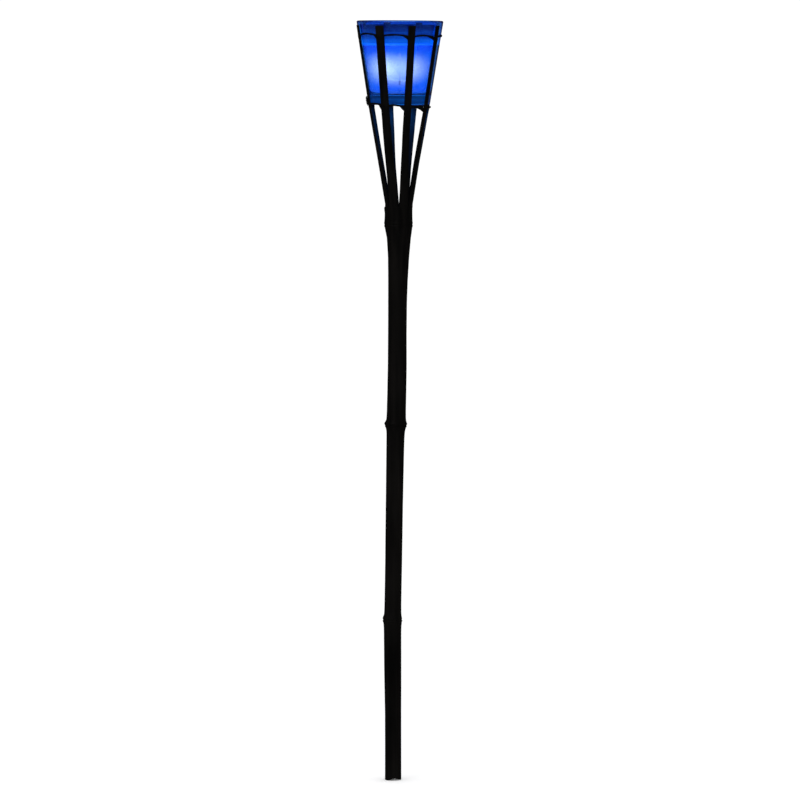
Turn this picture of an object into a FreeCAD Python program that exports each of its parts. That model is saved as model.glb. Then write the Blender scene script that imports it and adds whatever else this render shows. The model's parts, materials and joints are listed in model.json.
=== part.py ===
"""Bamboo garden torch: a culm split into an eight-stave basket that holds a candle in a glass cup.

Units are millimetres. +Z is up along the culm's foot, X runs across the torch and -Y is its front.
The origin is on the foot's axis, at the level of the foot's lowest point.
The head (staves, lashings, cup and candle) is modelled in its own frame, whose origin is the middle
of the split's root, and is then placed on the culm with a slight lean.
"""

import FreeCAD, Part

import math
import os

from FreeCAD import Placement, Rotation, Vector

# ---- culm: lengths between the bamboo's nodes, from the foot up ----
FOOT_INTERNODE = 193.6
LOWER_INTERNODE = 234.0
UPPER_INTERNODE = 240.0
SPLIT_ABOVE_NODE = 21.4  # the saw cuts stop this far above the top node

FOOT_RADIUS = 9.8
FOOT_STRAIGHT = 80.0  # true cylinder, the length that goes into a ground sleeve
FOOT_BORE_RADIUS = 6.4
FOOT_NOTCH_DEPTH = 2.9
FOOT_NOTCH_OFFSET = 2.0
FOOT_NOTCH_CROWN = 1.6  # half length of the notch's rounded crown
FOOT_NOTCH_CROWN_DROP = 0.12
FOOT_NOTCH_LEFT = -7.6
FOOT_NOTCH_RIGHT = 8.4
WALL = 3.0
DIAPHRAGM = 5.0

# outer radius at shares of each internode's length, without the swellings at the nodes
FOOT_RADII = [(0.0, FOOT_RADIUS), (0.5, 10.25), (1.0, 10.5)]
LOWER_RADII = [(0.0, 10.25), (0.25, 10.15), (0.6, 10.35), (1.0, 10.8)]
UPPER_RADII = [(0.0, 11.5), (0.2, 11.45), (0.5, 11.05), (0.66, 11.35), (0.77, 12.0), (0.87, 13.0), (0.92, 13.8),
               (0.96, 15.3), (0.98, 15.8), (1.0, 15.9)]
SPLIT_RADIUS = 16.5  # outer radius of the culm at the root of the split
SPLIT_FULL_SHARE = 0.35  # share of the way from the top node to the split where the culm has that radius

NODE_RING = [0.85, 1.65, 0.75]  # height of the ring at each node
NODE_RING_SPREAD = 4.2
NODE_FLARE = [0.35, 0.45, 0.35]  # wider, shallower swelling under the ring
NODE_FLARE_SPREAD = 13.0

# sideways place of the culm's centreline, at shares of each internode's length
FOOT_DRIFT = [(0.0, 0.0), (0.42, 0.0), (0.85, -0.55), (1.0, -0.65)]
LOWER_DRIFT = [(0.0, -0.65), (0.09, -0.3), (0.3, 0.7), (0.6, 1.6), (0.9, 2.6), (1.0, 3.4)]
UPPER_DRIFT = [(0.0, 3.4), (0.26, 5.0), (0.56, 5.2), (0.76, 6.1), (0.91, 7.2), (1.0, 6.5)]
SPLIT_DRIFT = 6.7
HEAD_LEAN = 0.33  # degrees, towards +X

# ---- staves ----
STAVE_COUNT = 8
FIRST_STAVE_AZIMUTH = -24.0  # at the root, in degrees from the front, towards +X
BASKET_TWIST = -3.7  # degrees that the lashings pull the staves round
TWIST_HEIGHT = 90.0  # the staves have turned by this height
STAVE_LENGTH = 215.6
STAVE_BEND_HEIGHT = 117.0
STAVE_BEND_RADIUS = 37.4  # to the outer face, at the bend
STAVE_TOP_RADIUS = 53.4
STAVE_ROOT_HEIGHT = 3.0  # the staves rise straight for this length, then spread
STAVE_THICKNESS = 1.4
PARED_ABOVE = 40.0  # the inner face is pared flat from this height up
SPLIT_KERF = 0.8
STAVE_WIDTHS = [9.8, 7.8, 9.2, 9.6, 9.2, 9.0, 9.6, 9.4]
STAVE_DRIFTS = [-0.5, -0.3, 0.7, -0.4, 0.5, 1.0, -0.6, 0.3]  # sideways at the top
STAVE_NARROWS_OVER = 72.0
STAVE_EDGE_CHAMFER = 0.3
FLAT_SAGITTA = 0.04

# ---- lashings: a cane strip round every stave, with a thin span from stave to stave ----
LASHING_ABOVE_BEND = 0.4  # middle of the lower lashing's strips, above the staves' bend
LASHING_BELOW_TOP = 15.1  # middle of the upper lashing's strips, below the staves' tops
LOWER_LASHING_TILT = 3.2  # degrees, lower towards +X
UPPER_LASHING_TILT = 1.5
STRIP_THICKNESS = 0.5
STRIP_GAP = 0.05  # strip to stave
STRIP_HEIGHT = 5.2
STRIP_SLANT = 9.0  # degrees, the strip climbs across each stave
SPAN_RADIUS = 0.85
SPAN_ABOVE_STRIP = 3.4  # from the strip's middle up to the span's centre
SPAN_OUTWARD = 0.1  # keeps the spans clear of the cup
LONG_TWIST = (6.0, 5.6)  # length and drop of the wedge where a strip twists into its span, before a stave
SHORT_TWIST = (2.4, 3.2)  # and after it
TWIST_THIN_END = 0.6  # half height of a wedge's thin end
KNOT_STAVE = 7  # index of the stave where the lower lashing's strip is tied off
KNOT_RADIUS = 1.6
KNOT_LENGTH = 9.5
KNOT_ABOVE_STRIP = 5.2  # from the strip's middle up to the knot's middle

# ---- glass cup ----
CUP_GAP = 0.36  # cup to strip, at the top of the upper lashing
CUP_FOOT_GAP = 0.45  # cup to stave, at the cup's foot
CUP_ABOVE_LASHING = 3.8  # underside of the cup, above the middle of the lower lashing's strips
CUP_HEIGHT = 99.6
CUP_WALL = 3.2
CUP_BASE = 12.4
CUP_CORNER = 4.0
CUP_INNER_CORNER = 6.0
CUP_PUNT_RADIUS = 27.0
CUP_PUNT = 1.4  # rise of the base's underside
CUP_RIM_OUTER_ROUND = 1.45
CUP_RIM_INNER_ROUND = 1.3

# ---- candle ----
WAX_GAP = 0.1
WAX_HEIGHT = 59.6
WELL_MOUTH_RADIUS = 21.0
WAX_RIM_ROUND = 2.5
WELL_DEPTH = 43.0
WELL_FLOOR_RADIUS = 16.0
WELL_FLOOR_ROUND = 6.0
WICK_RADIUS = 1.1
WICK_ABOVE_POOL = 8.0
WICK_CURL_RADIUS = 5.0
WICK_CURL_ANGLE = 55.0
WICK_GAP = 0.05
TAB_RADIUS = 10.0
TAB_THICKNESS = 0.4
TAB_COLLAR_WALL = 0.5
TAB_COLLAR_HEIGHT = 6.0

# ---- places that follow from the sizes above ----
NODE_HEIGHTS = [FOOT_INTERNODE, FOOT_INTERNODE + LOWER_INTERNODE,
                FOOT_INTERNODE + LOWER_INTERNODE + UPPER_INTERNODE]
SPLIT_HEIGHT = NODE_HEIGHTS[2] + SPLIT_ABOVE_NODE
STAVE_PITCH = 360.0 / STAVE_COUNT
STRIP_REACH = STRIP_GAP + STRIP_THICKNESS
LOWER_LASHING_HEIGHT = STAVE_BEND_HEIGHT + LASHING_ABOVE_BEND
UPPER_LASHING_HEIGHT = STAVE_LENGTH - LASHING_BELOW_TOP
CUP_FLOOR_HEIGHT = LOWER_LASHING_HEIGHT + CUP_ABOVE_LASHING
HEAD = Placement(Vector(SPLIT_DRIFT, 0, SPLIT_HEIGHT), Rotation(Vector(0, 1, 0), HEAD_LEAN))


def blend(x):
    """Smooth step from 0 to 1 as x goes from 0 to 1."""
    x = min(1.0, max(0.0, x))
    return x * x * (3 - 2 * x)


def along(points, x):
    """Value at x on the straight lines through (x, value) points."""
    for (x0, v0), (x1, v1) in zip(points, points[1:]):
        if x <= x1:
            return v0 + (v1 - v0) * (x - x0) / (x1 - x0)
    return points[-1][1]


def closed_face(*edges):
    return Part.Face(Part.Wire(list(edges)))


def line(a, b):
    return Part.LineSegment(a, b).toShape()


def arc(a, middle, b):
    return Part.Arc(a, middle, b).toShape()


def polygon(points):
    """Flat face with straight sides through the points."""
    return Part.Face(Part.makePolygon(points + [points[0]]))


def save(name, shape):
    if not shape.isValid():
        raise ValueError(name + " is not a valid shape")
    shape.exportStep("parts/" + name + ".step")
    print(name, "volume %.1f" % shape.Volume, "solids", len(shape.Solids))


# ---- culm ----

def internodes():
    """(low end, high end, radii, drifts) of the three internodes."""
    low, middle, high = NODE_HEIGHTS
    return [(0.0, low, FOOT_RADII, FOOT_DRIFT),
            (low, middle, LOWER_RADII, LOWER_DRIFT),
            (middle, high, UPPER_RADII, UPPER_DRIFT)]


def swelling(z):
    """How far the rings and flares at the nodes stand out at height z."""
    total = 0.0
    for height, ring, flare in zip(NODE_HEIGHTS, NODE_RING, NODE_FLARE):
        d = z - height
        total += ring * math.exp(-(d / NODE_RING_SPREAD) ** 2)
        total += flare * math.exp(-(d / NODE_FLARE_SPREAD) ** 2)
    return total


def culm_section(z):
    """(radius, sideways place) of the culm at height z, below the split."""
    for low, high, radii, drifts in internodes():
        if z <= high:
            share = (z - low) / (high - low)
            return along(radii, share) + swelling(z), along(drifts, share)
    share = (z - NODE_HEIGHTS[2]) / SPLIT_ABOVE_NODE
    base = along([(0.0, UPPER_RADII[-1][1]), (SPLIT_FULL_SHARE, SPLIT_RADIUS), (1.0, SPLIT_RADIUS)], share)
    drift = along([(0.0, UPPER_DRIFT[-1][1]), (1.0, SPLIT_DRIFT)], share)
    return base + swelling(z) * (1 - blend(share)), drift


def circle_at(radius, x, z):
    return Part.Wire(Part.makeCircle(radius, Vector(x, 0, z), Vector(0, 0, 1)))


def culm_heights():
    """Heights of the loft's sections: close together at the nodes, sparse between them."""
    near = [NODE_RING_SPREAD * s for s in (-3.8, -2.4, -1.55, -0.85, -0.3, 0.3, 0.85, 1.55, 2.4, 3.8)]
    heights = [FOOT_STRAIGHT, FOOT_STRAIGHT + 0.5 * (FOOT_INTERNODE - FOOT_STRAIGHT)]
    for index, node in enumerate(NODE_HEIGHTS):
        top_node = index == len(NODE_HEIGHTS) - 1
        heights += [node + d for d in near if not (top_node and d > NODE_RING_SPREAD)]
        if not top_node:
            above = NODE_HEIGHTS[index + 1]
            heights += [node + (above - node) * s for s in (0.16, 0.3, 0.45, 0.6, 0.72, 0.84)]
    heights += [NODE_HEIGHTS[2] + SPLIT_ABOVE_NODE * s for s in (SPLIT_FULL_SHARE, 2 * SPLIT_FULL_SHARE)]
    return sorted(heights)


def culm_outside():
    """The culm's outer form: a straight foot, then a loft up to the root of the split."""
    foot = Part.makeCylinder(FOOT_RADIUS, FOOT_STRAIGHT)
    wires = []
    for z in culm_heights():
        radius, x = culm_section(z)
        if z == FOOT_STRAIGHT:
            radius = FOOT_RADIUS
        wires.append(circle_at(radius, x, z))
    top = Part.Wire(Part.makeCircle(SPLIT_RADIUS))
    top.Placement = HEAD
    wires.append(top)
    return foot.fuse(Part.makeLoft(wires, True, True))


def sealed_hollow(low, high):
    """The closed hollow of one internode, between the diaphragms at its two nodes."""
    start = low + DIAPHRAGM / 2
    end = high - DIAPHRAGM / 2
    wires = []
    for share in (0.0, 0.1, 0.3, 0.5, 0.7, 0.85, 1.0):
        z = start + (end - start) * share
        radius, x = culm_section(z)
        wires.append(circle_at(radius - swelling(z) - WALL, x, z))
    return Part.makeLoft(wires, True, True)


def foot_bore():
    return Part.makeCylinder(FOOT_BORE_RADIUS, NODE_HEIGHTS[0] - DIAPHRAGM / 2)


def foot_notch():
    """Shallow notch sawn across the foot's end, with a rounded crown."""
    reach = 2 * FOOT_RADIUS
    crown = Vector(FOOT_NOTCH_OFFSET, 0, FOOT_NOTCH_DEPTH)
    left = Vector(FOOT_NOTCH_LEFT, 0, 0)
    right = Vector(FOOT_NOTCH_RIGHT, 0, 0)
    near_left = crown + (left - crown).normalize() * FOOT_NOTCH_CROWN
    near_right = crown + (right - crown).normalize() * FOOT_NOTCH_CROWN
    below = Vector(0, 0, -1)
    section = closed_face(
        line(left, near_left),
        arc(near_left, crown - Vector(0, 0, FOOT_NOTCH_CROWN_DROP), near_right),
        line(near_right, right),
        line(right, right + below),
        line(right + below, left + below),
        line(left + below, left))
    section.translate(Vector(0, -reach, 0))
    return section.extrude(Vector(0, 2 * reach, 0))


def culm():
    outside = culm_outside()
    cup_depth = SPLIT_ABOVE_NODE - DIAPHRAGM / 2
    top_hollow = Part.makeCylinder(SPLIT_RADIUS - WALL, cup_depth + 1, Vector(0, 0, -cup_depth))
    top_hollow.Placement = HEAD.multiply(top_hollow.Placement)
    hollows = [top_hollow, foot_bore(), foot_notch(),
               sealed_hollow(NODE_HEIGHTS[0], NODE_HEIGHTS[1]),
               sealed_hollow(NODE_HEIGHTS[1], NODE_HEIGHTS[2])]
    return outside.cut(hollows)


# ---- staves (head frame) ----

def stave_radius(z):
    """Distance from the head's axis to a stave's outer face at height z."""
    return along([(0.0, SPLIT_RADIUS), (STAVE_ROOT_HEIGHT, SPLIT_RADIUS),
                  (STAVE_BEND_HEIGHT, STAVE_BEND_RADIUS), (STAVE_LENGTH, STAVE_TOP_RADIUS)], z)


def stave_slope(z):
    return math.degrees(math.atan((stave_radius(z + 2) - stave_radius(z - 2)) / 4))


def stave_width(index, z):
    root = 2 * SPLIT_RADIUS * math.sin(math.radians(STAVE_PITCH / 2)) - SPLIT_KERF
    return root + (STAVE_WIDTHS[index] - root) * blend(z / STAVE_NARROWS_OVER)


def stave_drift(index, z):
    return STAVE_DRIFTS[index] * blend(z / STAVE_LENGTH)


def twist_at(z):
    """How far the staves have turned round the axis at height z, in degrees."""
    return BASKET_TWIST * blend(z / TWIST_HEIGHT)


def stave_azimuth(index, z):
    return FIRST_STAVE_AZIMUTH + index * STAVE_PITCH + twist_at(z)


def stave_section(index, z):
    """Closed outline of a stave at height z: an outer arc and a pared inner face."""
    outer = stave_radius(z)
    pared = blend(z / PARED_ABOVE)
    thickness = WALL + (STAVE_THICKNESS - WALL) * pared
    half = math.asin(stave_width(index, z) / 2 / SPLIT_RADIUS)
    centre = outer - SPLIT_RADIUS
    inner_radius = SPLIT_RADIUS - thickness
    corner = Vector(SPLIT_RADIUS * math.sin(half), centre + SPLIT_RADIUS * math.cos(half))
    curved = Vector(inner_radius * math.sin(half), centre + inner_radius * math.cos(half))
    flat = Vector(corner.x - STAVE_EDGE_CHAMFER, outer - thickness - FLAT_SAGITTA)
    inner = curved + (flat - curved) * pared
    shift = stave_drift(index, z)

    def place(u, w):
        return Vector(u + shift, -w, z)

    outline = Part.Wire([
        arc(place(-corner.x, corner.y), place(0, outer), place(corner.x, corner.y)),
        line(place(corner.x, corner.y), place(inner.x, inner.y)),
        arc(place(inner.x, inner.y), place(0, outer - thickness), place(-inner.x, inner.y)),
        line(place(-inner.x, inner.y), place(-corner.x, corner.y))])
    outline.rotate(Vector(0, 0, 0), Vector(0, 0, 1), stave_azimuth(index, z))
    return outline


def stave(index):
    narrow = STAVE_NARROWS_OVER
    bend = STAVE_BEND_HEIGHT
    heights = [0.0, STAVE_ROOT_HEIGHT] + [narrow * share for share in (1 / 6, 1 / 3, 1 / 2, 2 / 3, 5 / 6, 1.0)]
    heights += [narrow + (bend - narrow) * share for share in (1 / 2, 1.0)]
    heights += [bend + (STAVE_LENGTH - bend) * share for share in (1 / 3, 2 / 3, 1.0)]
    return Part.makeLoft([stave_section(index, z) for z in heights], True, True)


# ---- lashings (head frame) ----

def lashing_level(height, tilt, azimuth):
    """Height of a lashing at an azimuth: it lies slightly lower towards +X."""
    fall = stave_radius(height) * math.tan(math.radians(tilt))
    return height - fall * math.sin(math.radians(azimuth))


def stood_on_stave(shape, index, level):
    """Places a shape made round the origin on a stave's outer face, leaning with the stave."""
    shape.rotate(Vector(0, 0, 0), Vector(1, 0, 0), stave_slope(level))
    shape.translate(Vector(stave_drift(index, level), -stave_radius(level), level))
    shape.rotate(Vector(0, 0, 0), Vector(0, 0, 1), stave_azimuth(index, level))
    return shape


def strip_block(index, level, reach, height, slant):
    """Block round a stave at a level, standing out from it by reach on every side, slanted across it."""
    width = stave_width(index, level) + 2 * reach
    depth = STAVE_THICKNESS + FLAT_SAGITTA + 2 * reach
    block = Part.makeBox(width, depth, height, Vector(-width / 2, -reach, -height / 2))
    block.rotate(Vector(0, 0, 0), Vector(0, 1, 0), slant)
    return stood_on_stave(block, index, level)


def twist(index, height, tilt, side, size):
    """Wedge where the strip turns edge-on beside a stave: side is -1 before the stave and 1 after it."""
    length, drop = size
    azimuth = stave_azimuth(index, height)
    radius = span_circle(height)
    start = stave_width(index, height) / 2 + STRIP_GAP
    middle = side * (start + length / 2) + stave_drift(index, height)
    level = lashing_level(height, tilt, azimuth) + SPAN_ABOVE_STRIP
    near = -side * length / 2
    far = side * length / 2
    plate = polygon([Vector(near, 0, TWIST_THIN_END), Vector(far, 0, TWIST_THIN_END),
                     Vector(far, 0, -TWIST_THIN_END), Vector(near, 0, -drop)])
    plate = plate.extrude(Vector(0, STRIP_THICKNESS, 0))
    plate.translate(Vector(0, -radius - STRIP_THICKNESS / 2, level))
    plate.rotate(Vector(0, 0, 0), Vector(0, 0, 1), azimuth + math.degrees(middle / radius))
    return plate


def knot(height, tilt):
    """The tied-off end of the strip: a rounded peg lying up the outer face of one stave."""
    level = lashing_level(height, tilt, stave_azimuth(KNOT_STAVE, height))
    straight = KNOT_LENGTH - 2 * KNOT_RADIUS
    peg = Part.makeCylinder(KNOT_RADIUS, straight, Vector(0, 0, -straight / 2))
    ends = [Part.makeSphere(KNOT_RADIUS, Vector(0, 0, side * straight / 2)) for side in (-1, 1)]
    peg = peg.fuse(ends).removeSplitter()
    peg.translate(Vector(0, -STRIP_GAP - KNOT_RADIUS, KNOT_ABOVE_STRIP))
    return stood_on_stave(peg, KNOT_STAVE, level)


def span_circle(height):
    """Radius of the circle that the spans follow."""
    return stave_radius(height + SPAN_ABOVE_STRIP) - STAVE_THICKNESS / 2 + SPAN_OUTWARD


def lashing(height, tilt):
    """One band: a strip round each stave, twisted on both sides of it into the spans between."""
    ring = Part.makeTorus(span_circle(height), SPAN_RADIUS)
    ring.rotate(Vector(0, 0, 0), Vector(0, 1, 0), tilt)
    ring.translate(Vector(0, 0, height + SPAN_ABOVE_STRIP))
    loops = []
    twists = []
    breaks = []
    hollows = []
    for index in range(STAVE_COUNT):
        level = lashing_level(height, tilt, stave_azimuth(index, height))
        loops.append(strip_block(index, level, STRIP_REACH, STRIP_HEIGHT, STRIP_SLANT))
        breaks.append(strip_block(index, level, SPAN_RADIUS, 3 * STRIP_HEIGHT, 0))
        hollows.append(strip_block(index, level, STRIP_GAP, 3 * STRIP_HEIGHT, 0))
        twists.append(twist(index, height, tilt, -1, LONG_TWIST))
        twists.append(twist(index, height, tilt, 1, SHORT_TWIST))
    return ring.cut(breaks).fuse(loops + twists).cut(hollows)


def lower_lashing():
    band = lashing(LOWER_LASHING_HEIGHT, LOWER_LASHING_TILT)
    return band.fuse(knot(LOWER_LASHING_HEIGHT, LOWER_LASHING_TILT))


def upper_lashing():
    return lashing(UPPER_LASHING_HEIGHT, UPPER_LASHING_TILT)


# ---- glass cup and candle (head frame, all round the head's axis) ----

def revolved(points):
    """Solid turned about Z from (radius, height) corners that start and end on the axis."""
    profile = polygon([Vector(r, 0, z) for r, z in points])
    return profile.revolve(Vector(0, 0, 0), Vector(0, 0, 1), 360)


def fillet_at(shape, radius, height, ring_radius):
    """Rounds the circular edge that lies at a height and a ring radius."""
    edges = [e for e in shape.Edges
             if hasattr(e.Curve, "Radius")
             and abs(e.Curve.Radius - ring_radius) < 0.05
             and abs(e.BoundBox.ZMin - height) < 0.05
             and e.BoundBox.ZLength < 0.05]
    if not edges:
        raise ValueError("no edge to round at height %.1f" % height)
    return shape.makeFillet(radius, edges)


def cup_foot_radius():
    return stave_radius(CUP_FLOOR_HEIGHT) - STAVE_THICKNESS - FLAT_SAGITTA - CUP_FOOT_GAP


def cup_slope():
    """Spread of the cup's wall per unit of height: it runs beside the staves, inside the strips."""
    strip_top = UPPER_LASHING_HEIGHT + STRIP_HEIGHT / 2
    inside = stave_radius(strip_top) - STAVE_THICKNESS - FLAT_SAGITTA - STRIP_REACH - CUP_GAP
    return (inside - cup_foot_radius()) / (strip_top - CUP_FLOOR_HEIGHT)


def cup_outside(z):
    return cup_foot_radius() + cup_slope() * (z - CUP_FLOOR_HEIGHT)


def cup_inside(z):
    return cup_outside(z) - CUP_WALL


def glass_cup():
    low = CUP_FLOOR_HEIGHT
    top = low + CUP_HEIGHT
    floor = low + CUP_BASE
    outside = revolved([(0, low), (cup_foot_radius(), low), (cup_outside(top), top), (0, top)])
    inside = revolved([(0, floor), (cup_inside(floor), floor), (cup_inside(top + 5), top + 5), (0, top + 5)])
    inside = fillet_at(inside, CUP_INNER_CORNER, floor, cup_inside(floor))
    cup = fillet_at(outside, CUP_CORNER, low, cup_foot_radius()).cut(inside)
    punt = Part.makeCone(CUP_PUNT_RADIUS, CUP_PUNT_RADIUS - 2 * CUP_PUNT, CUP_PUNT, Vector(0, 0, low))
    cup = cup.cut(punt)
    cup = fillet_at(cup, CUP_RIM_OUTER_ROUND, top, cup_outside(top))
    return fillet_at(cup, CUP_RIM_INNER_ROUND, top, cup_inside(top))


def well_floor():
    return CUP_FLOOR_HEIGHT + CUP_BASE + WAX_GAP + WAX_HEIGHT - WELL_DEPTH


def wax():
    floor = CUP_FLOOR_HEIGHT + CUP_BASE + WAX_GAP
    top = floor + WAX_HEIGHT
    pool = well_floor()
    body = revolved([(0, floor), (cup_inside(floor) - WAX_GAP, floor), (cup_inside(top) - WAX_GAP, top), (0, top)])
    body = fillet_at(body, CUP_INNER_CORNER, floor, cup_inside(floor) - WAX_GAP)
    mouth = WELL_MOUTH_RADIUS
    well = revolved([(0, pool), (WELL_FLOOR_RADIUS, pool), (mouth, top), (mouth, top + 1), (0, top + 1)])
    body = body.cut(fillet_at(well, WELL_FLOOR_ROUND, pool, WELL_FLOOR_RADIUS))
    body = fillet_at(body, WAX_RIM_ROUND, top, mouth)
    room = wick_tab_form(WICK_GAP).fuse(wick_form(WICK_RADIUS + WICK_GAP))
    return body.cut(room)


def wick_start():
    """The wick stands on the tab, inside its collar."""
    return CUP_FLOOR_HEIGHT + CUP_BASE + WAX_GAP + 2 * WICK_GAP + TAB_THICKNESS


def wick_form(radius):
    """Straight wick that curls over above the pool."""
    start = wick_start()
    straight = well_floor() + WICK_ABOVE_POOL - start
    stem = Part.makeCylinder(radius, straight, Vector(0, 0, start))
    bend = Vector(WICK_CURL_RADIUS, 0, start + straight)
    disc = Part.Face(Part.Wire(Part.makeCircle(radius, Vector(0, 0, start + straight))))
    return stem.fuse(disc.revolve(bend, Vector(0, 1, 0), WICK_CURL_ANGLE))


def wick_tab_form(margin):
    """The tab's outer form, grown by a margin: a thin disc with a collar in its middle."""
    floor = CUP_FLOOR_HEIGHT + CUP_BASE + WAX_GAP + WICK_GAP - margin
    collar = WICK_RADIUS + WICK_GAP + TAB_COLLAR_WALL + margin
    disc = Part.makeCylinder(TAB_RADIUS + margin, TAB_THICKNESS + 2 * margin, Vector(0, 0, floor))
    tube = Part.makeCylinder(collar, TAB_COLLAR_HEIGHT + 2 * margin, Vector(0, 0, floor))
    return disc.fuse(tube)


def wick_tab():
    floor = CUP_FLOOR_HEIGHT + CUP_BASE + WAX_GAP + WICK_GAP + TAB_THICKNESS
    hole = Part.makeCylinder(WICK_RADIUS + WICK_GAP, TAB_COLLAR_HEIGHT + 1, Vector(0, 0, floor))
    return wick_tab_form(0).cut(hole)


def on_head(shape):
    """Moves a shape from the head's frame to its place on the culm."""
    placed = shape.copy()
    placed.Placement = HEAD.multiply(placed.Placement)
    return placed


def main():
    os.makedirs("parts", exist_ok=True)
    save("culm", culm())
    for index in range(STAVE_COUNT):
        save("stave_%d" % (index + 1), on_head(stave(index)))
    save("lower_lashing", on_head(lower_lashing()))
    save("upper_lashing", on_head(upper_lashing()))
    save("glass_cup", on_head(glass_cup()))
    save("wax", on_head(wax()))
    save("wick", on_head(wick_form(WICK_RADIUS)))
    save("wick_tab", on_head(wick_tab()))


if __name__ == "__main__":
    main()
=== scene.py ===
"""Visual model of the bamboo garden torch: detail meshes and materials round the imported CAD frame."""

import json
import math
import random

import bmesh
import bpy
from mathutils import Matrix, Vector, noise


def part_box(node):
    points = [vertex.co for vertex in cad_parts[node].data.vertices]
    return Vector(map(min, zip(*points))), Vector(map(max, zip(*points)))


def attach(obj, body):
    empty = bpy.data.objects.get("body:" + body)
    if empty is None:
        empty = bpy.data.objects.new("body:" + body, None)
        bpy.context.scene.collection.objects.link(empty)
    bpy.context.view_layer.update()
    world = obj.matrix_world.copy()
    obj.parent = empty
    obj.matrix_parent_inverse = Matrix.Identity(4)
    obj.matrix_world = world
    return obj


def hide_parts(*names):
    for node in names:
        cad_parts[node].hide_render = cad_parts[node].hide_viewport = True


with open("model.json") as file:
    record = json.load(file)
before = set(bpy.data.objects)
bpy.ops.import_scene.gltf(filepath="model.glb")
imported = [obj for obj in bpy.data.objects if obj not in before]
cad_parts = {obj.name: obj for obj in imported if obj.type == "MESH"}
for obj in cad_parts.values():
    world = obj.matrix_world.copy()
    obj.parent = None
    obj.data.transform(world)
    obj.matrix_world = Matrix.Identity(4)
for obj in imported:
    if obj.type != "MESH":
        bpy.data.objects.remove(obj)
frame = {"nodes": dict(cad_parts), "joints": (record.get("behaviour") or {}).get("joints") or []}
scene = bpy.context.scene
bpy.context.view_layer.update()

MM = 0.001
TAU = 2 * math.pi
SIDES = 112

# ---- the head's own frame: where the culm is split, leaning as the cup's slide does ----
axis = Vector(frame["joints"][0]["axis"]).normalized()
LEAN = math.atan2(axis.x, axis.z)
cup_low, cup_high = (Vector(c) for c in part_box("glass_cup"))
ROOT_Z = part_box("culm")[1][2] - 0.0001
cup_middle = (cup_low + cup_high) / 2
ROOT_X = cup_middle.x - math.tan(LEAN) * (cup_middle.z - ROOT_Z)
HEAD = Matrix.Translation((ROOT_X, 0, ROOT_Z)) @ Matrix.Rotation(LEAN, 4, "Y")

# ---- sizes of the head, in millimetres, in its own frame ----
SPLIT_RADIUS = 16.5  # outside of the culm where it is split
WALL = 3.0  # of the bamboo at the root of the split
KERF = 0.8  # of a saw cut
ROOT_STRAIGHT = 3.0  # the staves lean outwards from this height
NARROWS_OVER = 72.0  # height by which a stave has its width in the basket
PARED_OVER = 110.0  # height by which a stave is pared down to STAVE_THICKNESS
BEND = (117.0, 37.4)  # height and outer radius of the staves at the lower lashing
TOP = (215.6, 53.4)
STAVE_COUNT = 8
STAVE_PITCH = TAU / STAVE_COUNT
STAVE_THICKNESS = 1.4
STAVE_CHAMFER = 0.28
FIRST_AZIMUTH = -24.0  # of stave 1 at the root, in degrees from the front, towards +X
TWIST = (90.0, -3.7)  # the staves have turned by this many degrees at this height
WIDTHS = [11.2, 9.1, 9.6, 9.6, 9.2, 9.0, 9.6, 9.8]  # of staves 1 to 8, in the basket
DRIFTS = [-0.1, -1.3, -3.6, 3.0, 0.3, 0.8, -0.6, 0.3]  # of each sideways, anticlockwise seen from above
DRIFT_OVER = 60.0  # height by which a stave stands all the way to its side
LOWER_LASHING = (117.4, 3.6)  # height, and degrees it falls towards +X
UPPER_LASHING = (200.5, 1.5)
SPAN_ABOVE = 3.4  # a lashing's spans, above the middle of its strips
SPAN_OUTSIDE = 0.65  # the middle of a span, outside the glass
SPAN_TUCK = 0.6  # how far a span's ends reach in over the staves' edges
SPAN_TOP = 1.15  # a span's upper edge, above its middle line
SPAN_BOTTOM = 1.0  # its lower edge, below the same line
SPAN_THICK = 0.95
WEDGE_REACH = 5.2  # how far before the next stave a span opens into a wedge
WEDGE_REACHES = {1: 11.0, 7: 3.6}  # the same for the spans after staves 2 and 8
BACK_WEDGE_DROP = 0.8  # how far a wedge goes down at the back staves
STRIP_THICK = 0.22
STRIP_TURNS = [  # of the strip round a stave: shift up or down, slant in degrees, clearance, width
    (0.1, (7, 10), -0.10, 4.7),
    (0.2, (2, 6), -0.03, 4.3),
]
KNOT_TURNS = 5.5
KNOT_LOW, KNOT_HIGH = 0.8, 11.6  # above the lashing's level
KNOT_COIL = 1.0  # greatest radius of the coil's middle line
KNOT_STRIP = 0.72  # radius of the twisted strip
KNOT_OUT = 1.5  # the coil's middle, outside the stave's outer face
CUP_FLOOR = 121.2
CUP_HEIGHT = 99.6
CUP_TOP = CUP_FLOOR + CUP_HEIGHT
CUP_FOOT_RADIUS = 36.2
CUP_RIM_RADIUS = 51.8
CUP_WALL = 3.2
CUP_BASE = 12.4
WAX_FLOOR = CUP_FLOOR + CUP_BASE + 0.1
WAX_TOP = WAX_FLOOR + 59.6
POOL = WAX_TOP - 43.0  # bottom of the burnt-down well
WELL_MOUTH_RADIUS = 21.0
WELL_FLOOR_RADIUS = 16.0
WICK_FOOT = POOL - 6.0
WICK_LENGTH = 19.5
WICK_STRAIGHT = 14.0
WICK_BEND_RADIUS = 5.0
WICK_RADIUS = 1.08
FLAME_LOW = POOL + 6.5
FLAME_HIGH = POOL + 33.0
FLAME_RADIUS = 5.4

# ---- the glow in the wax, in metres, in the row frame ----
GLOW_CENTRE = (ROOT_X - 0.0035, 0.0, 0.8540)
SKIN_GLOW = (0.018, 0.0158)  # sideways and upwards, where the glow on the wax has fallen to 1/e
BODY_GLOW = (0.031, 0.0158)  # the same for the glow inside the wax
GLOW_CUT = 0.08  # taken off, so that the glow comes to an end
SKIN_LIGHT = 60.0
BODY_LIGHT = 900.0


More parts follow.
